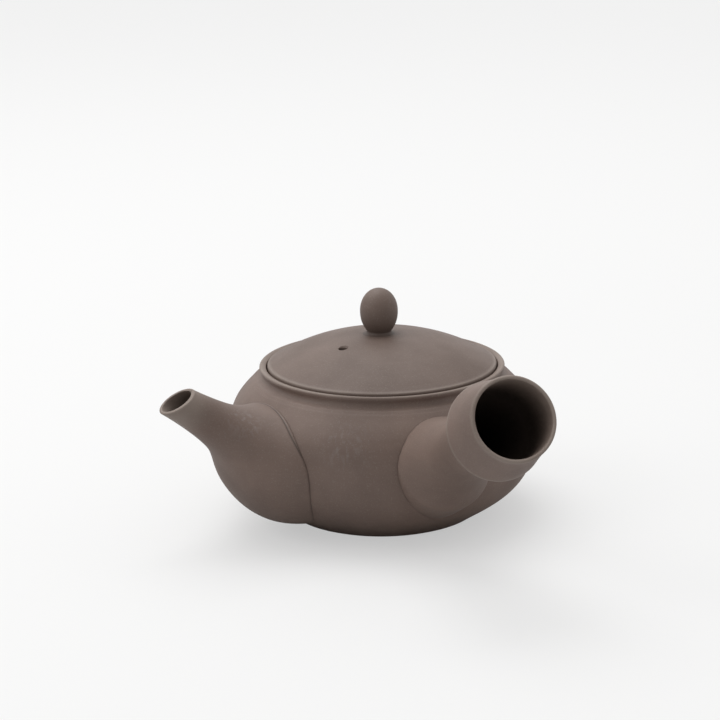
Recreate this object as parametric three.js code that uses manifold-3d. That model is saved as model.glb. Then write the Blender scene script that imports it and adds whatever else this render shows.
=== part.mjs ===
// A side-handle teapot in unglazed clay: thrown pot, curved spout, hollow handle and a lid with a knob.
// Millimetres, +Z up. The origin is the centre of the foot, on the table.
// The thrown pot is a shape of revolution about Z. The spout and the handle are luted to its wall.

import * as THREE from 'three';
import { mergeVertices } from 'three/addons/utils/BufferGeometryUtils.js';
import Module from 'manifold-3d';

const wasm = await Module();
wasm.setup();

// Pot.
const footRadius = 36.4;
const bellyRadius = 60;
const bellyHeight = 30.5;
const shoulderRadius = 49.9;
const shoulderHeight = 53.9;
const footFlare = 0.63;
const footHandle = 13.9;
const bellyLowerHandle = 18.2;
const bellyUpperHandle = 12.2;
const shoulderHandle = 12;
const shoulderSlope = 0.78;
const wall = 3;
const floorThickness = 3.4;
const footBevel = 0.8;

// Collar and the ledge that the lid sits on.
const rimRadius = 47.8;
const rimHeight = 59.1;
const rimDrop = 0.5;
const neckGroove = 1.1;
const lidClearance = 0.45;
const ledgeDepth = 3.2;
const ledgeWidth = 4.2;
const ledgeThickness = 3.2;

// Lid.
const lidRadius = 44.7;
const lidEdge = 3.4;
const lidCrown = 12;
const lidFullness = 2.3;
const lidWall = 3.2;
const skirtLength = 6.5;
const skirtThickness = 2.6;
const skirtClearance = 0.9;
const ventRadius = 1.75;
const ventReach = 20.75;
const ventAzimuth = -45.7;

// Knob.
const knobRadius = 7.35;
const knobHeight = 17.9;
const knobNeckRadius = 4.75;
const knobFootRadius = 7;
const knobLean = -0.9;

// Handle: thrown hollow, flared at the root, waisted, with a ridge behind the lip.
const handleAzimuth = 22;
const handleTurn = -4.4;
const handleRise = 27.9;
const handleRootHeight = 35.7;
const handleLength = 82;
const rootFlareRadius = 17.9;
const waistRadius = 10.6;
const waistPlace = 32;
const ridgeRadius = 17.8;
const ridgeSetback = 20.3;
const lipRadius = 15.2;
const handleBoreRadius = 13.75;
const waistWall = 2.8;

// Spout.
const spoutAzimuth = -54.7;
const spoutRoot = { reach: 35.6, height: 26.4 };
const spoutBulb = { reach: 52.5, height: 27.4 };
const spoutThroat = { reach: 61, height: 39.4 };
const spoutTip = { reach: 92.3, height: 60 };
const spoutHeights = [23.1, 23.7, 18.9, 9.7, 7.7];
const spoutWidths = [32.4, 30, 24.5, 12.5, 6.3];
const spoutWall = 2.6;
const spoutLipWall = 1.4;
const mouthCut = 63;
const spoutHoleRadius = 14;

// Strainer: a pierced dome behind the spout.
const strainerReach = 8;
const strainerRadius = 19;
const strainerThickness = 2;
const holeRadius = 0.9;
const holeSpacing = 4.1;
const holeRings = 2;

// Touching pieces keep this much air between them.
const seam = 0.3;

// Fineness.
const potSides = 48;
const lidSides = 44;
const handleSides = 30;
const knobSides = 22;
const spoutSides = 26;
const spoutRings = 15;
const curveSteps = 9;

const radians = THREE.MathUtils.degToRad;
const up = new THREE.Vector3(0, 0, 1);

function outward(azimuth) {
  const angle = radians(azimuth);
  return new THREE.Vector3(Math.sin(angle), -Math.cos(angle), 0);
}

function toSolid(geometry) {
  const bare = geometry.clone();
  bare.deleteAttribute('normal');
  bare.deleteAttribute('uv');
  const merged = mergeVertices(bare, 1e-4);
  return new wasm.Manifold(new wasm.Mesh({
    numProp: 3,
    vertProperties: Float32Array.from(merged.attributes.position.array),
    triVerts: Uint32Array.from(merged.index.array),
  }));
}

function toGeometry(solid) {
  const mesh = solid.getMesh();
  const geometry = new THREE.BufferGeometry();
  geometry.setAttribute('position', new THREE.BufferAttribute(mesh.vertProperties, 3));
  geometry.setIndex(new THREE.BufferAttribute(mesh.triVerts, 1));
  geometry.computeVertexNormals();
  return geometry;
}

// A closed profile of (radius, height) points turned about Z.
function turned(points, sides) {
  const geometry = new THREE.LatheGeometry(points, sides);
  geometry.rotateX(Math.PI / 2);
  const solid = toSolid(geometry);
  if (solid.volume() > 0) return solid;
  const index = geometry.index.array;
  for (let i = 0; i < index.length; i += 3) [index[i], index[i + 1]] = [index[i + 1], index[i]];
  return toSolid(geometry);
}

const v2 = (x, y) => new THREE.Vector2(x, y);

function bezier(a, b, c, d, steps) {
  return new THREE.CubicBezierCurve(a, b, c, d).getPoints(steps);
}

// The pot's outer curve from foot to shoulder, moved along its own normal by an offset.
function potCurve(offset) {
  const foot = v2(footRadius, 0);
  const belly = v2(bellyRadius, bellyHeight);
  const shoulder = v2(shoulderRadius, shoulderHeight);
  const footAim = v2(Math.cos(footFlare), Math.sin(footFlare)).multiplyScalar(footHandle);
  const shoulderAim = v2(Math.cos(shoulderSlope), -Math.sin(shoulderSlope)).multiplyScalar(shoulderHandle);
  const lower = bezier(
    foot, foot.clone().add(footAim), belly.clone().sub(v2(0, bellyLowerHandle)), belly, curveSteps);
  const upper = bezier(
    belly, belly.clone().add(v2(0, bellyUpperHandle)), shoulder.clone().add(shoulderAim), shoulder, curveSteps);
  const path = [...lower, ...upper.slice(1)];
  return path.map((point, i) => {
    const before = path[Math.max(i - 1, 0)];
    const after = path[Math.min(i + 1, path.length - 1)];
    const along = after.clone().sub(before).normalize();
    return v2(point.x + along.y * offset, point.y - along.x * offset);
  });
}

// Pot body.
const seatHeight = rimHeight - rimDrop - ledgeDepth;
const seatOuter = lidRadius + lidClearance;
const seatInner = seatOuter - ledgeWidth;
const throatHeight = seatHeight - ledgeThickness;

function hollowCurve(clearance) {
  const curve = potCurve(-wall - clearance);
  const floorHeight = floorThickness + clearance;
  return curve.filter((p) => p.y > floorHeight + 1 && p.y < throatHeight - 1.5);
}

const potShell = turned([
  v2(0, 0),
  v2(footRadius - footBevel, 0),
  v2(footRadius, footBevel * 0.4),
  ...potCurve(0).slice(1),
  v2(rimRadius - neckGroove * 0.3, shoulderHeight + 1.1),
  v2(rimRadius - neckGroove, (shoulderHeight + rimHeight) / 2),
  v2(rimRadius, rimHeight - 1),
  v2(rimRadius - 0.3, rimHeight),
  v2(seatOuter, rimHeight - rimDrop),
  v2(seatOuter, seatHeight),
  v2(seatInner, seatHeight),
  v2(seatInner, throatHeight),
  ...hollowCurve(0).reverse(),
  v2(footRadius - wall * 1.6, floorThickness),
  v2(0, floorThickness),
  v2(0, 0),
], potSides);

// The pot as a full block, a seam larger, which cuts the roots of the spout and the handle.
const potBlock = turned([
  v2(0, -seam),
  v2(footRadius, -seam),
  ...potCurve(seam),
  v2(0, shoulderHeight + seam),
  v2(0, -seam),
], potSides);

function pointedAlong(geometry, start, direction) {
  const turn = new THREE.Quaternion().setFromUnitVectors(up, direction);
  geometry.applyQuaternion(turn);
  geometry.translate(start.x, start.y, start.z);
  return geometry;
}

function rod(radius, length, start, direction, sides) {
  const geometry = new THREE.CylinderGeometry(radius, radius, length, sides);
  geometry.rotateX(Math.PI / 2);
  geometry.translate(0, 0, length / 2);
  return toSolid(pointedAlong(geometry, start, direction));
}

const spoutOut = outward(spoutAzimuth);
const spoutHoleStart = up.clone().multiplyScalar(spoutRoot.height);
const potBody = potShell.subtract(rod(spoutHoleRadius, bellyRadius + 10, spoutHoleStart, spoutOut, 28));

// Spout: oval sections swept along a curve in the upright plane at spoutAzimuth.
function spoutPlace(place) {
  return spoutOut.clone().multiplyScalar(place.reach).add(up.clone().multiplyScalar(place.height));
}

const spoutCurve = new THREE.CubicBezierCurve3(
  spoutPlace(spoutRoot), spoutPlace(spoutBulb), spoutPlace(spoutThroat), spoutPlace(spoutTip));
const spoutSide = new THREE.Vector3().crossVectors(spoutOut, up);

function along(values, t) {
  const curve = new THREE.SplineCurve(values.map((value, i) => v2(i, value)));
  return curve.getPoint(t).y;
}

function spoutSection(t, inset) {
  const centre = spoutCurve.getPoint(Math.min(t, 1));
  const tangent = spoutCurve.getTangent(Math.min(t, 1));
  const climb = Math.asin(tangent.dot(up));
  const turn = THREE.MathUtils.smoothstep(t, 0.7, 1);
  const thin = THREE.MathUtils.lerp(1, spoutLipWall / spoutWall, turn);
  const tilt = THREE.MathUtils.lerp(climb, radians(mouthCut), turn);
  if (t > 1) centre.addScaledVector(tangent, (t - 1) * 40);
  const rise = spoutOut.clone().multiplyScalar(-Math.sin(tilt)).addScaledVector(up, Math.cos(tilt));
  const half = along(spoutHeights, Math.min(t, 1)) - inset * thin;
  const halfWide = along(spoutWidths, Math.min(t, 1)) - inset * thin;
  const ring = [];
  for (let i = 0; i < spoutSides; i += 1) {
    const angle = (i / spoutSides) * Math.PI * 2;
    ring.push(centre.clone()
      .addScaledVector(rise, half * Math.cos(angle))
      .addScaledVector(spoutSide, halfWide * Math.sin(angle)));
  }
  return { centre, ring };
}

function spoutLoft(inset, start, end) {
  const positions = [];
  const index = [];
  const sections = [];
  for (let i = 0; i <= spoutRings; i += 1) {
    sections.push(spoutSection(THREE.MathUtils.lerp(start, end, i / spoutRings), inset));
  }
  for (const section of sections) for (const p of section.ring) positions.push(p.x, p.y, p.z);
  const first = positions.length / 3;
  const last = first + 1;
  const startCentre = sections[0].centre;
  const endCentre = sections[spoutRings].centre;
  positions.push(startCentre.x, startCentre.y, startCentre.z, endCentre.x, endCentre.y, endCentre.z);
  for (let i = 0; i < spoutRings; i += 1) {
    for (let j = 0; j < spoutSides; j += 1) {
      const a = i * spoutSides + j;
      const b = i * spoutSides + ((j + 1) % spoutSides);
      index.push(a, b, b + spoutSides, a, b + spoutSides, a + spoutSides);
    }
  }
  for (let j = 0; j < spoutSides; j += 1) {
    const k = (j + 1) % spoutSides;
    const top = spoutRings * spoutSides;
    index.push(first, k, j, last, top + j, top + k);
  }
  const geometry = new THREE.BufferGeometry();
  geometry.setAttribute('position', new THREE.Float32BufferAttribute(positions, 3));
  geometry.setIndex(index);
  const solid = toSolid(geometry);
  if (solid.volume() > 0) return solid;
  for (let i = 0; i < index.length; i += 3) [index[i], index[i + 1]] = [index[i + 1], index[i]];
  geometry.setIndex(index);
  return toSolid(geometry);
}

const spout = spoutLoft(0, 0, 1).subtract(spoutLoft(spoutWall, 0, 1.06)).subtract(potBlock);

// Strainer.
const strainerBack = spoutOut.clone().multiplyScalar(bellyRadius - wall + strainerReach)
  .addScaledVector(up, spoutRoot.height);

function ball(radius) {
  const geometry = new THREE.SphereGeometry(radius, 28, 20);
  geometry.translate(strainerBack.x, strainerBack.y, strainerBack.z);
  return toSolid(geometry);
}

const hollowLess = hollowCurve(seam);
const strainerRoom = turned([
  v2(0, floorThickness + seam),
  v2(footRadius - wall * 1.6 - seam, floorThickness + seam),
  ...hollowLess,
  v2(0, hollowLess[hollowLess.length - 1].y),
  v2(0, floorThickness + seam),
], potSides);

function strainerHoles() {
  const rods = [];
  const inward = spoutOut.clone().negate();
  for (let ring = 0; ring <= holeRings; ring += 1) {
    const count = Math.max(ring * 6, 1);
    for (let i = 0; i < count; i += 1) {
      const angle = (i / count) * Math.PI * 2;
      const start = strainerBack.clone()
        .addScaledVector(spoutSide, ring * holeSpacing * Math.cos(angle))
        .addScaledVector(up, ring * holeSpacing * Math.sin(angle));
      rods.push(rod(holeRadius, strainerRadius * 1.6, start, inward, 8));
    }
  }
  return rods;
}

let strainer = ball(strainerRadius).subtract(ball(strainerRadius - strainerThickness)).intersect(strainerRoom);
for (const hole of strainerHoles()) strainer = strainer.subtract(hole);

// Handle.
function potRadiusAt(height) {
  const curve = potCurve(0);
  for (let i = 1; i < curve.length; i += 1) {
    const a = curve[i - 1];
    const b = curve[i];
    if (height <= b.y) return THREE.MathUtils.mapLinear(height, a.y, b.y, a.x, b.x);
  }
  return shoulderRadius;
}

const handleOut = outward(handleAzimuth);
const handleRoot = handleOut.clone().multiplyScalar(potRadiusAt(handleRootHeight))
  .addScaledVector(up, handleRootHeight);
const handleAxis = outward(handleAzimuth + handleTurn).multiplyScalar(Math.cos(radians(handleRise)))
  .addScaledVector(up, Math.sin(radians(handleRise)));
const ridgePlace = handleLength - ridgeSetback;

const handleProfile = [
  v2(rootFlareRadius - waistWall, -18),
  v2(rootFlareRadius + 0.2, -18),
  v2(rootFlareRadius, 0),
  ...bezier(
    v2(rootFlareRadius - 1.6, 3), v2(waistRadius + 2, 8), v2(waistRadius, waistPlace - 11),
    v2(waistRadius, waistPlace), 5),
  ...bezier(
    v2(waistRadius, waistPlace), v2(waistRadius, waistPlace + 9), v2(ridgeRadius - 4.5, ridgePlace - 7),
    v2(ridgeRadius, ridgePlace), 5).slice(1),
  v2(ridgeRadius - 0.4, ridgePlace + 3),
  v2(lipRadius + 0.4, handleLength - 5),
  v2(lipRadius, handleLength - 1),
  v2((lipRadius + handleBoreRadius) / 2, handleLength),
  v2(handleBoreRadius, handleLength - 0.8),
  v2(handleBoreRadius, ridgePlace + 2),
  ...bezier(
    v2(ridgeRadius - waistWall - 2, ridgePlace - 3), v2(ridgeRadius - waistWall - 5, ridgePlace - 8),
    v2(waistRadius - waistWall, waistPlace + 9), v2(waistRadius - waistWall, waistPlace), 4),
  ...bezier(
    v2(waistRadius - waistWall, waistPlace), v2(waistRadius - waistWall, waistPlace - 11),
    v2(waistRadius + 2 - waistWall, 8), v2(rootFlareRadius - 1.6 - waistWall, 3), 4).slice(1),
  v2(rootFlareRadius - waistWall, -18),
];
const handlePlain = turned(handleProfile, handleSides);
const handleAim = new THREE.Quaternion().setFromUnitVectors(up, handleAxis);
const handleGeometry = toGeometry(handlePlain);
handleGeometry.applyQuaternion(handleAim);
handleGeometry.translate(handleRoot.x, handleRoot.y, handleRoot.z);
const handle = toSolid(handleGeometry).subtract(potBlock);

// Lid.
const lidBase = seatHeight + seam;
const lidTop = lidBase + lidEdge + lidCrown;

// The dome is a little fuller than a ball, with its steepest part at the edge.
function crownHeight(radius, drop) {
  return lidTop - drop - lidCrown * (radius / lidRadius) ** lidFullness;
}

const skirtRadius = seatInner - skirtClearance;
const skirtInner = skirtRadius - skirtThickness;
const lidSteps = [1, 0.9, 0.78, 0.64, 0.5, 0.36, 0.22, 0.1];
const lidSolid = turned([
  ...lidSteps.map((share) => v2(lidRadius * share, crownHeight(lidRadius * share, 0))),
  v2(0, lidTop),
  v2(0, lidTop - lidWall),
  ...[0.2, 0.45, 0.7, 1].map((share) => v2(skirtInner * share, crownHeight(skirtInner * share, lidWall))),
  v2(skirtInner, lidBase - skirtLength),
  v2(skirtRadius, lidBase - skirtLength),
  v2(skirtRadius, lidBase),
  v2(lidRadius, lidBase),
  v2(lidRadius, crownHeight(lidRadius, 0)),
], lidSides);
const ventStart = outward(ventAzimuth).multiplyScalar(ventReach).addScaledVector(up, lidBase);
const lid = lidSolid.subtract(rod(ventRadius, lidEdge + lidCrown + 2, ventStart, up, 16));

// Knob.
const knobBase = lidTop + seam;
const knobWaist = knobBase + knobHeight * 0.06;
const knobBelly = knobBase + knobHeight * 0.5;
const knobTop = knobBase + knobHeight;
const knobSolid = turned([
  v2(0, knobBase),
  v2(knobFootRadius, knobBase),
  v2(knobNeckRadius + 0.8, knobBase + 0.35),
  ...bezier(
    v2(knobNeckRadius, knobWaist), v2(knobNeckRadius + 1.3, knobWaist + 1.8),
    v2(knobRadius, knobBelly - 4), v2(knobRadius, knobBelly), 5),
  ...bezier(
    v2(knobRadius, knobBelly), v2(knobRadius, knobBelly + 5.2), v2(knobRadius * 0.55, knobTop),
    v2(0, knobTop), 6).slice(1),
  v2(0, knobBase),
], knobSides);
const lidBlock = turned([
  ...lidSteps.map((share) => v2(lidRadius * share, crownHeight(lidRadius * share, 0) + seam)),
  v2(0, lidTop + seam),
  v2(0, lidBase),
  v2(lidRadius, lidBase),
  v2(lidRadius, crownHeight(lidRadius, 0) + seam),
], lidSides);
const knobGeometry = toGeometry(knobSolid);
knobGeometry.translate(knobLean, 0, -0.2);
const knob = toSolid(knobGeometry).subtract(lidBlock);

// The teapot.
const clays = {
  pot_body: 0x4f4740,
  spout: 0x4c443e,
  handle: 0x51483f,
  strainer: 0x544b43,
  lid: 0x5a5149,
  lid_knob: 0x554b42,
};

const teapot = new THREE.Group();
teapot.name = 'teapot';

function place(name, solid) {
  const material = new THREE.MeshStandardMaterial({ color: clays[name], roughness: 0.78, metalness: 0 });
  const mesh = new THREE.Mesh(toGeometry(solid), material);
  mesh.name = name;
  teapot.add(mesh);
}

place('pot_body', potBody);
place('spout', spout);
place('handle', handle);
place('strainer', strainer);
place('lid', lid);
place('lid_knob', knob);

export default teapot;
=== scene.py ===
"""Dresses a side-handle clay teapot: finely turned pieces, clay materials, a studio and a camera.

Every size is in metres unless its name says otherwise. The pot stands on its foot at the origin,
+Z is up, and the camera looks along +Y.
"""

from math import asin, cos, exp, hypot, pi, radians, sin

import bmesh
import bpy
from bpy.props import FloatProperty, FloatVectorProperty, IntProperty, PointerProperty
from mathutils import Matrix, Vector, noise


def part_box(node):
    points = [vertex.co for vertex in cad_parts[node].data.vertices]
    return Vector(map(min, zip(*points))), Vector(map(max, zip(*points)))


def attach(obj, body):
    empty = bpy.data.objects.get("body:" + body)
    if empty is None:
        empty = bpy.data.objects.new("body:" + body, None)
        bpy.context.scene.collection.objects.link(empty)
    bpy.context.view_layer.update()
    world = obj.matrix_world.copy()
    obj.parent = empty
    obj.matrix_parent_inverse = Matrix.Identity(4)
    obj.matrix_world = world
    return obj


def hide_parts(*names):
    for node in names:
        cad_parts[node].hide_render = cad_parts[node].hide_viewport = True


bl_info = {
    "name": "Side-handle teapot",
    "version": (1, 0, 0),
    "blender": (4, 5, 0),
    "location": "3D View > Sidebar > Teapot",
    "description": "Builds a thrown clay teapot with a side handle, its clay finish and a studio",
    "category": "Add Mesh",
}

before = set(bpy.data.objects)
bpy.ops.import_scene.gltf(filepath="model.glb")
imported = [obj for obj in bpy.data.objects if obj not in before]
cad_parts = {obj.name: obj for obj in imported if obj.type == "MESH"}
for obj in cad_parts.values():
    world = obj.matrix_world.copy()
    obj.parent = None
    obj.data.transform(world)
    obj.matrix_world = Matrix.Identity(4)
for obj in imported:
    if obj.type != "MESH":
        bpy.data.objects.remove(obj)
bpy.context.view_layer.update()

MM = 0.001
UP = Vector((0, 0, 1))
POT_LOW, POT_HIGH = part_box("pot_body")
RIM_HEIGHT = POT_HIGH[2]
BELLY_RADIUS = POT_HIGH[0]


# Settings.

class PotSettings(bpy.types.PropertyGroup):
    """Sizes of the thrown pot and its collar"""

    foot_radius: FloatProperty(name="Foot radius", description="Radius of the flat foot",
                               default=36.4 * MM, unit="LENGTH")
    belly_height: FloatProperty(name="Belly height", description="Height of the widest place",
                                default=30.5 * MM, unit="LENGTH")
    shoulder_radius: FloatProperty(name="Shoulder radius", description="Radius where the collar starts",
                                   default=49.9 * MM, unit="LENGTH")
    shoulder_height: FloatProperty(name="Shoulder height", description="Height where the collar starts",
                                   default=53.9 * MM, unit="LENGTH")
    wall: FloatProperty(name="Wall", description="Thickness of the pot's wall",
                        default=3 * MM, unit="LENGTH")
    rim_radius: FloatProperty(name="Rim radius", description="Outer radius of the collar's rim",
                              default=47.8 * MM, unit="LENGTH")
    throwing_depth: FloatProperty(name="Throwing marks", description="Depth of the faint turned rings",
                                  default=0.06 * MM, unit="LENGTH", precision=5)


class LidSettings(bpy.types.PropertyGroup):
    """Sizes of the lid and its knob"""

    radius: FloatProperty(name="Lid radius", description="Radius of the lid's edge",
                          default=44.7 * MM, unit="LENGTH")
    crown: FloatProperty(name="Crown", description="Rise of the dome above its edge",
                         default=12 * MM, unit="LENGTH")
    fullness: FloatProperty(name="Fullness", description="How far the dome is fuller than a cone",
                            default=2.3)
    edge: FloatProperty(name="Edge", description="Height of the lid's edge above its seat",
                        default=3.4 * MM, unit="LENGTH")
    vent_radius: FloatProperty(name="Vent radius", description="Radius of the steam hole",
                               default=1.75 * MM, unit="LENGTH")
    vent_reach: FloatProperty(name="Vent reach", description="Distance of the steam hole from the middle",
                              default=20.75 * MM, unit="LENGTH")
    vent_azimuth: FloatProperty(name="Vent direction", description="Turn from the front towards the right",
                                default=radians(-45.7), subtype="ANGLE")
    knob_radius: FloatProperty(name="Knob radius", description="Widest radius of the knob",
                               default=7.35 * MM, unit="LENGTH")
    knob_height: FloatProperty(name="Knob height", description="Height of the knob over the lid",
                               default=17.9 * MM, unit="LENGTH")
    neck_radius: FloatProperty(name="Neck radius", description="Radius of the knob's neck",
                               default=4.75 * MM, unit="LENGTH")
    knob_foot: FloatProperty(name="Knob foot", description="Radius of the knob's foot on the lid",
                             default=6.2 * MM, unit="LENGTH")
    knob_lean: FloatProperty(name="Knob place", description="Place of the knob across the lid",
                             default=-0.9 * MM, unit="LENGTH")


class HandleSettings(bpy.types.PropertyGroup):
    """Sizes and direction of the hollow side handle"""

    azimuth: FloatProperty(name="Direction", description="Turn from the front towards the right",
                           default=radians(22), subtype="ANGLE")
    twist: FloatProperty(name="Twist", description="Turn of the axis away from straight out",
                         default=radians(-4.4), subtype="ANGLE")
    rise: FloatProperty(name="Rise", description="Climb of the handle over the table",
                        default=radians(27.9), subtype="ANGLE")
    root_height: FloatProperty(name="Root height", description="Height where its axis meets the pot",
                               default=35.7 * MM, unit="LENGTH")
    length: FloatProperty(name="Length", description="Length from the pot's wall to the lip",
                          default=82 * MM, unit="LENGTH")
    waist_radius: FloatProperty(name="Waist radius", description="Slimmest radius",
                                default=10.6 * MM, unit="LENGTH")
    ridge_radius: FloatProperty(name="Ridge radius", description="Radius of the ridge behind the lip",
                                default=17.8 * MM, unit="LENGTH")
    lip_radius: FloatProperty(name="Lip radius", description="Outer radius at the lip",
                              default=15.2 * MM, unit="LENGTH")
    bore_radius: FloatProperty(name="Bore radius", description="Inner radius at the lip",
                               default=13.75 * MM, unit="LENGTH")
    waist_place: FloatProperty(name="Waist place", description="Distance of the waist from the pot",
                               default=32 * MM, unit="LENGTH")
    ridge_setback: FloatProperty(name="Ridge setback", description="Distance of the ridge from the lip",
                                 default=20.3 * MM, unit="LENGTH")
    root_radius: FloatProperty(name="Root radius", description="Radius of the flared root",
                               default=17.9 * MM, unit="LENGTH")


class SpoutSettings(bpy.types.PropertyGroup):
    """Direction and wall of the spout"""

    azimuth: FloatProperty(name="Direction", description="Turn from the front towards the right",
                           default=radians(-54.7), subtype="ANGLE")
    wall: FloatProperty(name="Wall", description="Thickness of the spout's wall",
                        default=2.6 * MM, unit="LENGTH")
    lip_wall: FloatProperty(name="Lip wall", description="Thickness of the wall at the mouth",
                            default=1.4 * MM, unit="LENGTH")
    mouth_cut: FloatProperty(name="Mouth cut", description="Climb of the line square to the mouth",
                             default=radians(63), subtype="ANGLE")


class ClaySettings(bpy.types.PropertyGroup):
    """Colours of the clay"""

    body: FloatVectorProperty(name="Body", description="Colour of the pot, spout and handle",
                              default=(0.173, 0.123, 0.102), subtype="COLOR", size=3, min=0, max=1)
    # Painted shade: the lid and knob get a darker copy of the body clay, to tone down the light falling on top.
    lid: FloatVectorProperty(name="Lid", description="Colour of the lid and knob",
                             default=(0.146, 0.105, 0.087), subtype="COLOR", size=3, min=0, max=1)
    # Pale clay for the specks and for the pale edges, where it is partly wear and partly painted highlight.
    pale_wear_and_highlight: FloatVectorProperty(name="Worn edges", description="Colour of rubbed edges and specks",
                              default=(0.34, 0.3, 0.26), subtype="COLOR", size=3, min=0, max=1)
    # Painted shade: the near-black laid into the grooves where the spout and handle meet the pot, deep inside
    # the handle's bore and under the knob.
    seam: FloatVectorProperty(name="Seams", description="Colour in the tooled seams",
                              default=(0.02, 0.016, 0.013), subtype="COLOR", size=3, min=0, max=1)
    floor: FloatVectorProperty(name="Floor", description="Colour of the studio floor",
                               default=(0.6, 0.6, 0.6), subtype="COLOR", size=3, min=0, max=1)
    # Painted light: the camera sees this darker floor colour under a camera-only glow, which lifts the floor's
    # shadows.
    floor_seen: FloatVectorProperty(name="Floor as seen", description="Floor colour where it is looked at",
                                    default=(0.37, 0.37, 0.368), subtype="COLOR", size=3, min=0, max=1)
    turns: IntProperty(name="Turns", description="Faces round a turned piece", default=360, min=24)


def settings():
    return bpy.context.scene.teapot


class TeapotSettings(bpy.types.PropertyGroup):
    """All the teapot's settings"""

    pot: PointerProperty(type=PotSettings, name="Pot", description="The thrown pot")
    lid: PointerProperty(type=LidSettings, name="Lid", description="The lid and its knob")
    handle: PointerProperty(type=HandleSettings, name="Handle", description="The side handle")
    spout: PointerProperty(type=SpoutSettings, name="Spout", description="The spout")
    clay: PointerProperty(type=ClaySettings, name="Clay", description="The clay's colours")


# Curves.

def bezier(a, b, c, d, steps):
    points = []
    for i in range(steps + 1):
        t = i / steps
        s = 1 - t
        points.append(a * s ** 3 + b * 3 * s * s * t + c * 3 * s * t * t + d * t ** 3)
    return points


def arc(centre, radius, start, end, steps):
    """Points on a small round edge, from one angle to another, in degrees."""
    angles = [radians(start + (end - start) * i / steps) for i in range(steps + 1)]
    return [centre + Vector((cos(a), sin(a))) * radius for a in angles]


def point(radius, height):
    return Vector((radius, height))


def pot_curve(offset=0.0, steps=36):
    """The pot's outer curve from foot to shoulder, moved outwards by an offset."""
    pot = settings().pot
    foot = point(pot.foot_radius, 0)
    belly = point(BELLY_RADIUS, pot.belly_height)
    shoulder = point(pot.shoulder_radius, pot.shoulder_height)
    foot_aim = Vector((cos(0.63), sin(0.63))) * 13.9 * MM
    shoulder_aim = Vector((cos(0.78), -sin(0.78))) * 12 * MM
    lower = bezier(foot, foot + foot_aim, belly - Vector((0, 18.2 * MM)), belly, steps)
    upper = bezier(belly, belly + Vector((0, 12.2 * MM)), shoulder + shoulder_aim, shoulder, steps)
    path = lower + upper[1:]
    moved = []
    for i, here in enumerate(path):
        along = (path[min(i + 1, len(path) - 1)] - path[max(i - 1, 0)]).normalized()
        moved.append(here + Vector((along.y, -along.x)) * offset)
    return moved


def curve_radius(path, height):
    for low, high in zip(path, path[1:]):
        if low.y <= height <= high.y:
            share = (height - low.y) / max(high.y - low.y, 1e-9)
            return low.x + (high.x - low.x) * share
    return path[0].x if height < path[0].y else path[-1].x


def outward(azimuth):
    return Vector((sin(azimuth), -cos(azimuth), 0))


# Meshes.

def link(name, mesh):
    piece = bpy.data.objects.new(name, mesh)
    bpy.context.collection.objects.link(piece)
    for face in mesh.polygons:
        face.use_smooth = True
    return piece


def turned_mesh(name, profile, turns):
    """A closed mesh from a (radius, height) profile that starts and ends on the axis or joins itself."""
    joined = (profile[0] - profile[-1]).length < 1e-7
    if joined:
        profile = profile[:-1]
    rings = []
    verts = []
    for p in profile:
        if p.x < 1e-7:
            rings.append([len(verts)])
            verts.append((0, 0, p.y))
            continue
        rings.append(list(range(len(verts), len(verts) + turns)))
        for i in range(turns):
            angle = 2 * pi * i / turns
            verts.append((p.x * cos(angle), p.x * sin(angle), p.y))
    faces = []
    pairs = list(zip(rings, rings[1:]))
    if joined:
        pairs.append((rings[-1], rings[0]))
    for low, high in pairs:
        for i in range(turns):
            k = (i + 1) % turns
            if len(low) == 1 and len(high) == 1:
                break
            if len(low) == 1:
                faces.append((low[0], high[k], high[i]))
            elif len(high) == 1:
                faces.append((low[i], low[k], high[0]))
            else:
                faces.append((low[i], low[k], high[k], high[i]))
    mesh = bpy.data.meshes.new(name)
    mesh.from_pydata(verts, [], faces)
    tidy(mesh)
    return mesh


def tidy(mesh):
    work = bmesh.new()
    work.from_mesh(mesh)
    bmesh.ops.remove_doubles(work, verts=work.verts, dist=1e-7)
    bmesh.ops.recalc_face_normals(work, faces=work.faces)
    work.to_mesh(mesh)
    work.free()


def cut(piece, cutters, keep=False):
    """Takes each cutter out of a piece, or keeps only what lies in it."""
    for cutter in cutters:
        step = piece.modifiers.new("cut", "BOOLEAN")
        step.operation = "INTERSECT" if keep else "DIFFERENCE"
        step.solver = "EXACT"
        step.object = cutter
        depsgraph = bpy.context.evaluated_depsgraph_get()
        mesh = bpy.data.meshes.new_from_object(piece.evaluated_get(depsgraph))
        piece.modifiers.remove(step)
        old = piece.data
        piece.data = mesh
        bpy.data.meshes.remove(old)
        blade = cutter.data
        bpy.data.objects.remove(cutter)
        bpy.data.meshes.remove(blade)
    for face in piece.data.polygons:
        face.use_smooth = True
    return piece


def set_attribute(mesh, name, values):
    layer = mesh.attributes.get(name) or mesh.attributes.new(name, "FLOAT", "POINT")
    layer.data.foreach_set("value", values)


# Clay.

def add(nodes, kind, x, y, **values):
    node = nodes.new(kind)
    node.location = (x, y)
    for name, value in values.items():
        if hasattr(node, name):
            setattr(node, name, value)
        else:
            node.inputs[name].default_value = value
    return node


def noise_node(tree, source, scale, detail, stretch=(1, 1, 1)):
    mapping = add(tree.nodes, "ShaderNodeMapping", -1500, 0)
    mapping.inputs["Scale"].default_value = stretch
    tree.links.new(source, mapping.inputs["Vector"])
    node = add(tree.nodes, "ShaderNodeTexNoise", -1300, 0)
    node.inputs["Scale"].default_value = scale
    node.inputs["Detail"].default_value = detail
    tree.links.new(mapping.outputs["Vector"], node.inputs["Vector"])
    return node.outputs["Fac"]


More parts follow.
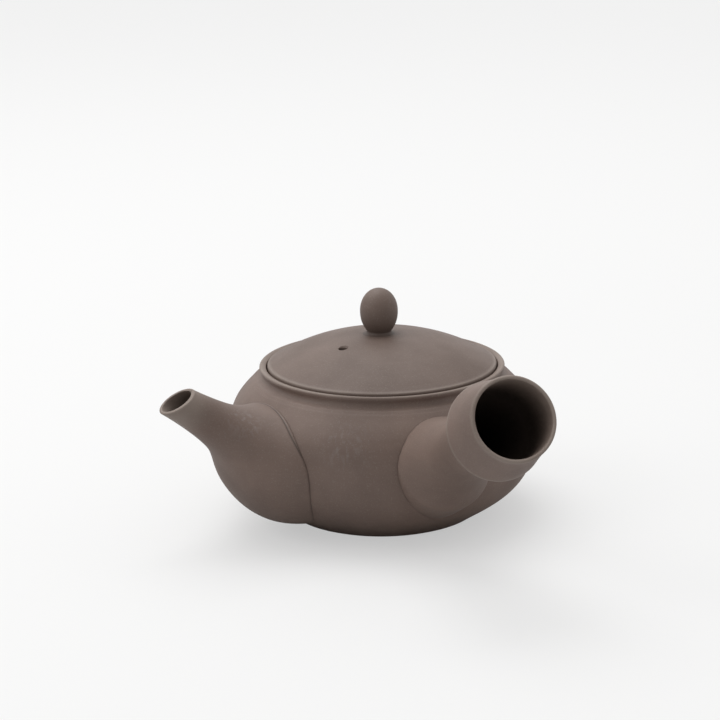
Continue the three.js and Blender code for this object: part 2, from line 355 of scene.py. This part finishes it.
def ring_noise(tree, where, flat):
    """Fine turned rings: one after the other outwards on a flat piece, upwards on an upright one."""
    if not flat:
        return noise_node(tree, where, 60, 3, (0.12, 0.12, 16))
    level = add(tree.nodes, "ShaderNodeMapping", -1500, 200)
    level.inputs["Scale"].default_value = (1, 1, 0)
    tree.links.new(where, level.inputs["Vector"])
    reach = add(tree.nodes, "ShaderNodeVectorMath", -1300, 200)
    reach.operation = "LENGTH"
    tree.links.new(level.outputs["Vector"], reach.inputs[0])
    node = add(tree.nodes, "ShaderNodeTexNoise", -1100, 200)
    node.noise_dimensions = "1D"
    node.inputs["Scale"].default_value = 1100
    node.inputs["Detail"].default_value = 3
    tree.links.new(reach.outputs["Value"], node.inputs["W"])
    return node.outputs["Fac"]


def spread(tree, source, low, high, to_low=0.0, to_high=1.0):
    node = add(tree.nodes, "ShaderNodeMapRange", -1000, 0)
    node.inputs["From Min"].default_value = low
    node.inputs["From Max"].default_value = high
    node.inputs["To Min"].default_value = to_low
    node.inputs["To Max"].default_value = to_high
    tree.links.new(source, node.inputs["Value"])
    return node.outputs["Result"]


def math(tree, operation, first, second):
    node = add(tree.nodes, "ShaderNodeMath", -800, 0)
    node.operation = operation
    for socket, value in zip(node.inputs, (first, second)):
        if isinstance(value, (int, float)):
            socket.default_value = value
        else:
            tree.links.new(value, socket)
    return node.outputs[0]


def blend_colour(tree, share, first, second):
    node = add(tree.nodes, "ShaderNodeMix", -500, 0)
    node.data_type = "RGBA"
    tree.links.new(share, node.inputs["Factor"])
    for socket, value in ((node.inputs[6], first), (node.inputs[7], second)):
        if hasattr(value, "links"):
            tree.links.new(value, socket)
        else:
            socket.default_value = (*value, 1)
    return node.outputs[2]


def clay_material(name, colour):
    """Unglazed clay: mottled, speckled, faintly ringed, pale along its edges (wear with painted highlight),
    with painted shade in its seams and hollows and painted sheen patches.
    """
    clay = settings().clay
    material = bpy.data.materials.new(name)
    material.use_nodes = True
    tree = material.node_tree
    shader = tree.nodes["Principled BSDF"]
    where = add(tree.nodes, "ShaderNodeTexCoord", -1800, 0).outputs["Object"]

    mottle = noise_node(tree, where, 42, 5)
    cloud = noise_node(tree, where, 14, 3)
    grain = noise_node(tree, where, 1900, 2)
    fine = noise_node(tree, where, 3800, 2)
    rings = ring_noise(tree, where, name == "darkened lid clay")

    dark = tuple(value * 0.87 for value in colour)
    light = tuple(min(value * 1.13, 1) for value in colour)
    base = blend_colour(tree, spread(tree, mottle, 0.35, 0.68), dark, light)
    warm = tuple(value * tint for value, tint in zip(colour, (1.16, 1.0, 0.86)))
    base = blend_colour(tree, spread(tree, cloud, 0.42, 0.72, 0, 0.22), base, warm)
    base = blend_colour(tree, spread(tree, rings, 0.38, 0.66, 0, 0.16), base, dark)
    specks = math(tree, "MULTIPLY", spread(tree, grain, 0.56, 0.72), 0.2)
    base = blend_colour(tree, specks, base, tuple(clay.pale_wear_and_highlight))
    pits = math(tree, "MULTIPLY", spread(tree, fine, 0.54, 0.7), 0.45)
    base = blend_colour(tree, pits, base, dark)

    # Pale edges: partly wear, partly painted highlight along the edges that catch the light.
    pale_wear_and_highlight = add(tree.nodes, "ShaderNodeAttribute", -1800, -300, attribute_name="pale_wear_and_highlight")
    patchy = math(tree, "MULTIPLY", pale_wear_and_highlight.outputs["Fac"], spread(tree, mottle, 0.25, 0.6, 0.35, 1))
    base = blend_colour(tree, math(tree, "MULTIPLY", patchy, 0.55), base, tuple(clay.pale_wear_and_highlight))
    # Painted shade: blends towards the near-black shade colour in grooves and hollows.
    seam = add(tree.nodes, "ShaderNodeAttribute", -1800, -500, attribute_name="seam")
    base = blend_colour(tree, math(tree, "MULTIPLY", seam.outputs["Fac"], 0.85), base, tuple(clay.seam))
    # Painted sheen: pale bluish-grey streaks where the light glances off the spout and belly.
    painted_sheen = add(tree.nodes, "ShaderNodeAttribute", -1800, -700, attribute_name="painted_sheen")
    sheen_flecks = noise_node(tree, where, 700, 4, (1, 1, 0.4))
    sheen_streaks = math(tree, "MULTIPLY", painted_sheen.outputs["Fac"], spread(tree, sheen_flecks, 0.5, 0.66))
    base = blend_colour(tree, math(tree, "MULTIPLY", sheen_streaks, 0.6), base, (0.36, 0.35, 0.36))
    tree.links.new(base, shader.inputs["Base Color"])

    rough = spread(tree, mottle, 0.3, 0.7, 0.62, 0.5)
    tree.links.new(rough, shader.inputs["Roughness"])
    shader.inputs["Specular IOR Level"].default_value = 0.38

    height = math(tree, "ADD", math(tree, "MULTIPLY", grain, 0.6), math(tree, "MULTIPLY", fine, 0.4))
    height = math(tree, "ADD", height, math(tree, "MULTIPLY", rings, 0.5))
    bump = add(tree.nodes, "ShaderNodeBump", -250, -300)
    bump.inputs["Strength"].default_value = 0.32
    bump.inputs["Distance"].default_value = 0.14 * MM
    tree.links.new(height, bump.inputs["Height"])
    tree.links.new(bump.outputs["Normal"], shader.inputs["Normal"])
    return material


def clay_for(name):
    clay = settings().clay
    found = bpy.data.materials.get(name)
    return found or clay_material(name, tuple(clay.lid if name == "darkened lid clay" else clay.body))


def finish_piece(piece, node, body, material):
    piece.data.materials.clear()
    piece.data.materials.append(clay_for(material))
    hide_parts(node)
    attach(piece, body)


# Pieces.

def pot_block(offset, turns=192):
    """The pot as a full block, used only to cut its neighbours' roots."""
    path = pot_curve(offset)
    profile = [point(0, -offset), point(path[0].x, -offset), *path, point(0, path[-1].y)]
    return link("block", turned_mesh("block", profile, turns))


SPOUT_PATH = [point(35.6, 26.4), point(52.5, 27.4), point(61, 39.4), point(92.3, 60)]
SPOUT_HEIGHTS = (23.1, 23.7, 18.9, 9.7, 7.7)
SPOUT_WIDTHS = (32.4, 30.0, 24.5, 12.5, 6.3)


def spline(values, t):
    """A smooth curve through evenly spaced values."""
    place = t * (len(values) - 1)
    i = min(int(place), len(values) - 2)
    u = place - i
    a, b = values[max(i - 1, 0)], values[i]
    c, d = values[i + 1], values[min(i + 2, len(values) - 1)]
    return 0.5 * (2 * b + (c - a) * u + (2 * a - 5 * b + 4 * c - d) * u * u
                  + (3 * b - a - 3 * c + d) * u ** 3)


def smooth_step(low, high, value):
    share = min(max((value - low) / (high - low), 0), 1)
    return share * share * (3 - 2 * share)


def spout_ring(t, inset, count, lip=0.0):
    spout = settings().spout
    out = outward(spout.azimuth)
    side = out.cross(UP)
    s = 1 - min(t, 1)
    u = min(t, 1)
    a, b, c, d = SPOUT_PATH
    place = (a * s ** 3 + b * 3 * s * s * u + c * 3 * s * u * u + d * u ** 3) * MM
    aim = ((b - a) * 3 * s * s + (c - b) * 6 * s * u + (d - c) * 3 * u * u).normalized()
    tilt = asin(aim.y)
    turn = smooth_step(0.7, 1, t)
    tilt += (spout.mouth_cut - tilt) * turn
    inset *= 1 + (spout.lip_wall / spout.wall - 1) * turn
    centre = out * place.x + UP * place.y
    if t > 1:
        centre += (out * aim.x + UP * aim.y) * (t - 1) * 40 * MM
    centre += (out * cos(tilt) + UP * sin(tilt)) * lip
    rise = out * -sin(tilt) + UP * cos(tilt)
    high = spline(SPOUT_HEIGHTS, u) * MM - inset
    wide = spline(SPOUT_WIDTHS, u) * MM - inset
    return [centre + rise * high * cos(2 * pi * i / count) + side * wide * sin(2 * pi * i / count)
            for i in range(count)]


def loft(name, rings):
    count = len(rings[0])
    verts = [p for ring in rings for p in ring]
    faces = []
    for i in range(len(rings) - 1):
        for j in range(count):
            k = (j + 1) % count
            faces.append((i * count + j, i * count + k, (i + 1) * count + k, (i + 1) * count + j))
    faces.append(tuple(reversed(range(count))))
    faces.append(tuple(range((len(rings) - 1) * count, len(rings) * count)))
    mesh = bpy.data.meshes.new(name)
    mesh.from_pydata(verts, [], faces)
    tidy(mesh)
    return link(name, mesh)


def press_seam(piece, depth, width, second=0.0):
    """Rounds a piece into a fine groove where it meets the pot, with a second tooled line above, and paints
    shade into both.
    """
    path = pot_curve(0, 60)
    mesh = piece.data
    values = []
    moves = []
    for vert in mesh.vertices:
        gap = hypot(vert.co.x, vert.co.y) - curve_radius(path, vert.co.z)
        share = exp(-(gap / width) ** 2) if gap > 0 else 1
        line = 0
        if second:
            parted = smooth_step(31 * MM, 49 * MM, vert.co.z)
            line = exp(-((gap - second * parted) / (0.28 * MM)) ** 2) * min(parted * 3, 1)
        values.append(max(share, line * 0.8))
        moves.append(vert.normal * -max(depth * share, 0.3 * MM * line))
    for vert, move in zip(mesh.vertices, moves):
        vert.co += move
    set_attribute(mesh, "seam", values)
    set_attribute(mesh, "pale_wear_and_highlight", [0.0] * len(values))


class TEAPOT_OT_spout(bpy.types.Operator):
    """Make the curved spout, open at its mouth and luted to the pot's wall"""

    bl_idname = "teapot.spout"
    bl_label = "Spout"

    def execute(self, context):
        wall = settings().spout.wall
        count = 200
        steps = 230
        outer = [spout_ring(i / steps, 0, count) for i in range(steps + 1)]
        lip_steps = 6
        for i in range(1, lip_steps + 1):
            turn = pi * 0.5 * i / lip_steps
            outer.append(spout_ring(1, wall * 0.45 * (1 - cos(turn)), count, wall * 0.2 * sin(turn)))
        spout = loft("spout_shell", outer)
        bore = loft("bore", [spout_ring(i / 60 * 1.08, wall, count) for i in range(61)])
        cut(spout, [bore, pot_block(-0.6 * MM, 256)])
        press_seam(spout, 0.55 * MM, 0.42 * MM, 1.5 * MM)
        tip = sum((p for p in spout_ring(1, 0, count)), Vector()) / count
        # Paler towards the spout's tip.
        pale_wear_and_highlight = [exp(-((vert.co - tip).length / (11 * MM)) ** 4) for vert in spout.data.vertices]
        set_attribute(spout.data, "pale_wear_and_highlight", pale_wear_and_highlight)
        # Painted sheen patch on the spout's upper side.
        spout_sheen_spot = spout_ring(0.76, 0, count)[int(count * 0.86)]
        set_attribute(spout.data, "painted_sheen", [exp(-((v.co - spout_sheen_spot).length / (6 * MM)) ** 2) * 0.4
                                             for v in spout.data.vertices])
        finish_piece(spout, "spout", "pot", "body clay")
        return {"FINISHED"}


def handle_frame():
    handle = settings().handle
    out = outward(handle.azimuth)
    radius = curve_radius(pot_curve(), handle.root_height)
    root = out * radius + UP * handle.root_height
    axis = outward(handle.azimuth + handle.twist) * cos(handle.rise) + UP * sin(handle.rise)
    turn = UP.rotation_difference(axis).to_matrix().to_4x4()
    return Matrix.Translation(root) @ turn


class TEAPOT_OT_handle(bpy.types.Operator):
    """Make the hollow handle: flared root, slim waist, ridge and rolled lip"""

    bl_idname = "teapot.handle"
    bl_label = "Handle"

    def execute(self, context):
        handle = settings().handle
        waist, ridge, lip = handle.waist_radius, handle.ridge_radius, handle.lip_radius
        root, length = handle.root_radius, handle.length
        waist_at = handle.waist_place
        ridge_at = length - handle.ridge_setback
        thin = 2.8 * MM
        bore = handle.bore_radius
        lip_round = (lip - bore) / 2
        outside = [
            *[point(root + 0.2 * MM * (1 - i / 30), (i / 30 - 1) * 18 * MM) for i in range(31)],
            *bezier(point(root - 0.1 * MM, 0.8 * MM), point(root - 1.8 * MM, 5 * MM),
                    point(waist, waist_at - 14 * MM), point(waist, waist_at), 26),
            *bezier(point(waist, waist_at), point(waist, waist_at + 9 * MM),
                    point(ridge - 4.5 * MM, ridge_at - 7 * MM),
                    point(ridge - 0.25 * MM, ridge_at - 0.5 * MM), 26)[1:],
            point(ridge, ridge_at), point(ridge - 0.12 * MM, ridge_at + 0.6 * MM),
            *bezier(point(ridge - 0.3 * MM, ridge_at + 1.4 * MM), point(ridge - 0.9 * MM, ridge_at + 6 * MM),
                    point(lip + 0.5 * MM, length - 8 * MM), point(lip, length - lip_round), 16),
        ]
        rolled = arc(point(bore + lip_round, length - lip_round), lip_round, 0, 180, 10)[1:]
        inside = [
            point(bore, ridge_at + 2 * MM),
            *bezier(point(ridge - thin - 2 * MM, ridge_at - 3 * MM),
                    point(ridge - thin - 5 * MM, ridge_at - 8 * MM),
                    point(waist - thin, waist_at + 9 * MM), point(waist - thin, waist_at), 18),
            *bezier(point(waist - thin, waist_at), point(waist - thin, waist_at - 11 * MM),
                    point(waist + 2 * MM - thin, 8 * MM), point(root - 1.6 * MM - thin, 3 * MM), 18)[1:],
            point(root - thin, -18 * MM),
        ]
        profile = outside + rolled + inside
        mesh = turned_mesh("handle_shell", profile + [profile[0]], 240)
        piece = link("handle_shell", mesh)
        mesh.transform(handle_frame())
        cut(piece, [pot_block(-0.6 * MM, 256)])
        press_seam(piece, 0.5 * MM, 0.85 * MM)
        back = handle_frame().inverted()
        seam = piece.data.attributes["seam"].data
        pale_wear_and_highlight = []
        for vert in piece.data.vertices:
            local = back @ vert.co
            radius = hypot(local.x, local.y)
            # Pale ridge and lip: partly wear, partly painted highlight along their lit edges.
            on_ridge = exp(-((local.z - ridge_at) / (0.8 * MM)) ** 2) if radius > ridge - 1 * MM else 0
            on_lip = exp(-((local.z - length) / (1.1 * MM)) ** 2)
            # Painted shade: inward-facing faces darken deeper inside the hollow handle.
            facing = back.to_3x3() @ vert.normal
            if facing.x * local.x + facing.y * local.y < 0:
                bore_shade = 1 - smooth_step(length - 22 * MM, length - 2 * MM, local.z)
                seam[vert.index].value = max(seam[vert.index].value, bore_shade)
            pale_wear_and_highlight.append(min(on_ridge * 0.7 + on_lip * 0.8, 1))
        set_attribute(piece.data, "pale_wear_and_highlight", pale_wear_and_highlight)
        finish_piece(piece, "handle", "pot", "body clay")
        return {"FINISHED"}


class TEAPOT_OT_pot(bpy.types.Operator):
    """Make the thrown pot with its collar, lid ledge and spout hole"""

    bl_idname = "teapot.pot"
    bl_label = "Pot"

    def execute(self, context):
        pot = settings().pot
        lid = settings().lid
        rim = pot.rim_radius
        seat_outer = lid.radius + 0.45 * MM
        seat_inner = seat_outer - 4.2 * MM
        seat = RIM_HEIGHT - 3.7 * MM
        throat = seat - 3.2 * MM
        outer = pot_curve(0, 64)
        hollow = [p for p in pot_curve(-pot.wall, 14) if 4.4 * MM < p.y < throat - 1.5 * MM]
        marks = []
        for i, p in enumerate(outer[2:-2]):
            swing = noise.noise(Vector((0, 0, p.y * 420))) * pot.throwing_depth
            marks.append(Vector((p.x + swing, p.y)))
        groove = 1.1 * MM
        profile = [
            point(0, 0), point(pot.foot_radius - 0.8 * MM, 0), point(pot.foot_radius, 0.35 * MM),
            *marks, outer[-1] + Vector((0.1 * MM, -0.4 * MM)),
            *bezier(point(pot.shoulder_radius - 0.2 * MM, pot.shoulder_height + 0.2 * MM),
                    point(rim - groove * 1.1, pot.shoulder_height + 0.8 * MM),
                    point(rim - groove * 1.2, RIM_HEIGHT - 2.6 * MM),
                    point(rim - 0.15 * MM, RIM_HEIGHT - 1.5 * MM), 12),
            *arc(point(rim - 0.7 * MM, RIM_HEIGHT - 0.7 * MM), 0.7 * MM, -10, 100, 8),
            point(seat_outer + 0.35 * MM, RIM_HEIGHT - 0.42 * MM),
            point(seat_outer + 0.05 * MM, RIM_HEIGHT - 0.6 * MM), point(seat_outer, RIM_HEIGHT - 0.9 * MM),
            point(seat_outer, seat + 0.2 * MM), point(seat_outer - 0.2 * MM, seat),
            point(seat_inner + 0.4 * MM, seat), point(seat_inner, seat - 0.4 * MM), point(seat_inner, throat),
            *reversed(hollow), point(pot.foot_radius - 4.8 * MM, 3.4 * MM), point(0, 3.4 * MM),
        ]
        piece = link("pot_shell", turned_mesh("pot_shell", profile, settings().clay.turns))
        out = outward(settings().spout.azimuth)
        hole = turned_mesh("hole", [point(0, 0), point(14 * MM, 0),
                                    point(14 * MM, 70 * MM), point(0, 70 * MM)], 64)
        hole.transform(Matrix.Translation(UP * 26.4 * MM) @ UP.rotation_difference(out).to_matrix().to_4x4())
        cut(piece, [link("hole", hole)])
        # Painted sheen patch on the belly.
        body_sheen_spot = outward(radians(-14)) * 59 * MM + UP * 44 * MM
        verts = piece.data.vertices
        set_attribute(piece.data, "seam", [0.0] * len(verts))
        # Pale rim edge: partly wear, partly painted highlight.
        set_attribute(piece.data, "pale_wear_and_highlight", [exp(-((v.co.z - RIM_HEIGHT) / (0.5 * MM)) ** 2) * 0.6
                                           for v in verts])
        set_attribute(piece.data, "painted_sheen", [exp(-((v.co - body_sheen_spot).length / (8 * MM)) ** 2) * 0.25 for v in verts])
        finish_piece(piece, "pot_body", "pot", "body clay")
        return {"FINISHED"}


def crown_height(radius, drop=0.0):
    lid = settings().lid
    base = RIM_HEIGHT - 3.7 * MM + 0.3 * MM
    return base + lid.edge + lid.crown - drop - lid.crown * (radius / lid.radius) ** lid.fullness


class TEAPOT_OT_lid(bpy.types.Operator):
    """Make the domed lid with its skirt, rounded edge and steam hole"""

    bl_idname = "teapot.lid"
    bl_label = "Lid"

    def execute(self, context):
        lid = settings().lid
        base = RIM_HEIGHT - 3.7 * MM + 0.3 * MM
        skirt = lid.radius + 0.45 * MM - 4.2 * MM - 0.9 * MM
        inner = skirt - 2.6 * MM
        dome = []
        for i in range(56):
            radius = (lid.radius - 0.9 * MM) * i / 55
            swing = noise.noise(Vector((0, 0, radius * 520))) * 0.045 * MM
            dome.append(point(radius, crown_height(radius) + (swing if i > 8 else 0)))
        under = [point(inner * i / 20, crown_height(inner * i / 20, 3.2 * MM)) for i in range(21)]
        edge_top = crown_height(lid.radius - 0.9 * MM)
        profile = [
            *dome, *arc(point(lid.radius - 0.8 * MM, edge_top - 0.75 * MM), 0.8 * MM, 78, 0, 6),
            point(lid.radius, base + 0.3 * MM), point(lid.radius - 0.3 * MM, base), point(skirt, base),
            point(skirt, base - 6.2 * MM), point(skirt - 0.3 * MM, base - 6.5 * MM),
            point(inner + 0.3 * MM, base - 6.5 * MM), point(inner, base - 6.2 * MM), *reversed(under),
        ]
        piece = link("lid_shell", turned_mesh("lid_shell", profile, settings().clay.turns))
        rounding = 0.45 * MM
        surface = crown_height(lid.vent_reach)
        hole = turned_mesh("vent", [
            point(0, base), point(lid.vent_radius, base), point(lid.vent_radius, surface - rounding),
            *arc(point(lid.vent_radius + rounding, surface - rounding), rounding, 180, 110, 4)[1:],
            point(lid.vent_radius + rounding * 1.2, surface + 1.5 * MM), point(0, surface + 1.5 * MM)], 48)
        hole.transform(Matrix.Translation(outward(lid.vent_azimuth) * lid.vent_reach))
        cut(piece, [link("vent", hole)])
        # Pale lid edge: partly wear, partly painted highlight.
        pale_wear_and_highlight = [exp(-((hypot(v.co.x, v.co.y) - lid.radius + 0.6 * MM) / (0.5 * MM)) ** 2) * 0.5
                if v.co.z > base + 1.5 * MM else 0 for v in piece.data.vertices]
        set_attribute(piece.data, "pale_wear_and_highlight", pale_wear_and_highlight)
        set_attribute(piece.data, "seam", [0.0] * len(pale_wear_and_highlight))
        finish_piece(piece, "lid", "cover", "darkened lid clay")
        return {"FINISHED"}


class TEAPOT_OT_knob(bpy.types.Operator):
    """Make the egg-shaped knob on its narrow neck"""

    bl_idname = "teapot.knob"
    bl_label = "Knob"

    def execute(self, context):
        lid = settings().lid
        base = crown_height(0)
        waist = base + lid.knob_height * 0.06
        belly = base + lid.knob_height * 0.5
        top = base + lid.knob_height
        neck, foot = lid.neck_radius, lid.knob_foot
        profile = [
            point(0, base - 0.8 * MM), point(foot + 0.8 * MM, base - 0.7 * MM),
            *bezier(point(foot + 0.8 * MM, base - 0.3 * MM), point(foot - 0.8 * MM, base),
                    point(neck, base + 0.2 * MM), point(neck, waist), 12),
            *bezier(point(neck, waist), point(neck + 1.3 * MM, waist + 1.8 * MM),
                    point(lid.knob_radius, belly - 4 * MM), point(lid.knob_radius, belly), 24)[1:],
            *bezier(point(lid.knob_radius, belly), point(lid.knob_radius, belly + 5.2 * MM),
                    point(lid.knob_radius * 0.55, top), point(0, top), 24)[1:],
        ]
        mesh = turned_mesh("lid_knob_turned", profile, 96)
        mesh.transform(Matrix.Translation(Vector((lid.knob_lean, 0, 0))))
        piece = link("lid_knob_turned", mesh)
        # Painted shade: a dark line at the knob's neck and darker towards its foot, under its belly.
        values = [max(exp(-((v.co.z - base) / (0.5 * MM)) ** 2) * 0.3,
                      0.42 * (1 - smooth_step(base, belly + 3 * MM, v.co.z))) for v in mesh.vertices]
        set_attribute(mesh, "seam", values)
        set_attribute(mesh, "pale_wear_and_highlight", [0.0] * len(values))
        finish_piece(piece, "lid_knob", "cover", "darkened lid clay")
        return {"FINISHED"}


class TEAPOT_OT_strainer(bpy.types.Operator):
    """Give the pierced strainer behind the spout its clay"""

    bl_idname = "teapot.strainer"
    bl_label = "Strainer"

    def execute(self, context):
        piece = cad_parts["strainer"]
        for slot in piece.material_slots:
            slot.material = clay_for("body clay")
        return {"FINISHED"}


# Studio.

def look(camera, target, distance, elevation, roll, focal, frame_size, place):
    """Sets the camera so that the target lands at a place in the frame, in pixels from its corner."""
    back = Vector((0, -cos(elevation), sin(elevation)))
    right, up, ahead = Vector((1, 0, 0)), Vector((0, sin(elevation), cos(elevation))), -back
    shift = Vector(((place[0] - frame_size / 2) / focal, -(place[1] - frame_size / 2) / focal, 1))
    turn = UP.rotation_difference(shift.normalized()).to_matrix()
    axes = turn @ Matrix((right, up, ahead))
    side, top, ahead = axes[0], axes[1], axes[2]
    turned_side = side * cos(roll) + top * sin(roll)
    turned_top = top * cos(roll) - side * sin(roll)
    place_matrix = Matrix((turned_side, turned_top, -ahead)).transposed().to_4x4()
    place_matrix.translation = target + back * distance
    camera.matrix_world = place_matrix


class TEAPOT_OT_studio(bpy.types.Operator):
    """Make the floor, the lamps, the world and the camera"""

    bl_idname = "teapot.studio"
    bl_label = "Studio"

    def execute(self, context):
        scene = context.scene
        camera_data = bpy.data.cameras.new("camera")
        camera_data.sensor_width = 36
        camera_data.lens = 115
        camera = bpy.data.objects.new("camera", camera_data)
        scene.collection.objects.link(camera)
        scene.camera = camera
        look(camera, UP * 30.17 * MM, 905.6 * MM, radians(17.569), radians(-0.678), 2300, 720,
             (381.85, 433.41))

        mesh = bpy.data.meshes.new("floor")
        reach = 12
        mesh.from_pydata([(-reach, -reach, 0), (reach, -reach, 0), (reach, reach, 0), (-reach, reach, 0)],
                         [], [(0, 1, 2, 3)])
        floor = bpy.data.objects.new("floor", mesh)
        floor.location.z = -0.0002
        scene.collection.objects.link(floor)
        material = bpy.data.materials.new("floor paper")
        material.use_nodes = True
        tree = material.node_tree
        shader = tree.nodes["Principled BSDF"]
        shader.inputs["Roughness"].default_value = 0.9
        shader.inputs["Specular IOR Level"].default_value = 0.1
        path = add(tree.nodes, "ShaderNodeLightPath", -400, 0)
        seen = path.outputs["Is Camera Ray"]
        clay = settings().clay
        tree.links.new(blend_colour(tree, seen, clay.floor, clay.floor_seen), shader.inputs["Base Color"])
        where = add(tree.nodes, "ShaderNodeTexCoord", -1400, -300).outputs["Object"]
        reach_node = add(tree.nodes, "ShaderNodeVectorMath", -1200, -300)
        reach_node.operation = "LENGTH"
        tree.links.new(where, reach_node.inputs[0])
        # Painted light: a camera-only glow over the floor lifts its shadows, a little brighter away from the
        # pot.
        painted_floor_light = spread(tree, reach_node.outputs["Value"], 0.3, 2.0, 0.49, 0.56)
        glow = math(tree, "MULTIPLY", seen, painted_floor_light)
        shader.inputs["Emission Color"].default_value = (1, 1, 1, 1)
        tree.links.new(glow, shader.inputs["Emission Strength"])
        mesh.materials.append(material)

        world = bpy.data.worlds.new("studio")
        scene.world = world
        world.use_nodes = True
        tree = world.node_tree
        ground = tree.nodes["Background"]
        ground.inputs["Color"].default_value = (1, 1, 1, 1)
        path = add(tree.nodes, "ShaderNodeLightPath", -600, 0)
        level = add(tree.nodes, "ShaderNodeMix", -300, 0)
        tree.links.new(path.outputs["Is Camera Ray"], level.inputs["Factor"])
        aim = add(tree.nodes, "ShaderNodeTexCoord", -1400, 0).outputs["Generated"]
        parts = add(tree.nodes, "ShaderNodeSeparateXYZ", -1200, 0)
        tree.links.new(aim, parts.inputs[0])
        behind = math(tree, "ADD", math(tree, "MULTIPLY", parts.outputs["Z"], 0.75), parts.outputs["Y"])
        tree.links.new(spread(tree, behind, -0.8, 1.1, 0.36, 0.95), level.inputs["A"])
        level.inputs["B"].default_value = 0.93
        tree.links.new(level.outputs["Result"], ground.inputs["Strength"])

        for name, place, size, power in (
                ("overhead softbox", (-0.25, 0.35, 1.3), 1.1, 9.0),
                ("left softbox", (-1.1, -0.35, 0.9), 0.7, 3.2)):
            lamp = bpy.data.lights.new(name, "AREA")
            lamp.size = size
            lamp.energy = power
            holder = bpy.data.objects.new(name, lamp)
            holder.location = place
            holder.rotation_euler = (Vector((0, 0, 0.03)) - Vector(place)).to_track_quat("-Z", "Y").to_euler()
            scene.collection.objects.link(holder)
        scene.view_settings.view_transform = "Standard"
        return {"FINISHED"}


class TEAPOT_PT_panel(bpy.types.Panel):
    """The teapot's pieces and settings"""

    bl_idname = "TEAPOT_PT_panel"
    bl_label = "Teapot"
    bl_space_type = "VIEW_3D"
    bl_region_type = "UI"
    bl_category = "Teapot"

    def draw(self, context):
        for step in STEPS:
            self.layout.operator(step.bl_idname)
        for group in ("pot", "lid", "handle", "spout", "clay"):
            holder = getattr(context.scene.teapot, group)
            box = self.layout.box()
            for name in holder.__annotations__:
                box.prop(holder, name)


STEPS = (TEAPOT_OT_studio, TEAPOT_OT_spout, TEAPOT_OT_handle, TEAPOT_OT_pot, TEAPOT_OT_strainer,
         TEAPOT_OT_lid, TEAPOT_OT_knob)
CLASSES = (PotSettings, LidSettings, HandleSettings, SpoutSettings, ClaySettings, TeapotSettings,
           *STEPS, TEAPOT_PT_panel)


def register():
    for item in CLASSES:
        bpy.utils.register_class(item)
    bpy.types.Scene.teapot = PointerProperty(type=TeapotSettings)


def unregister():
    del bpy.types.Scene.teapot
    for item in reversed(CLASSES):
        bpy.utils.unregister_class(item)


def main():
    register()
    bpy.ops.teapot.studio()
    bpy.ops.teapot.spout()
    bpy.ops.teapot.handle()
    bpy.ops.teapot.pot()
    bpy.ops.teapot.strainer()
    bpy.ops.teapot.lid()
    bpy.ops.teapot.knob()


if __name__ == "__main__":
    main()
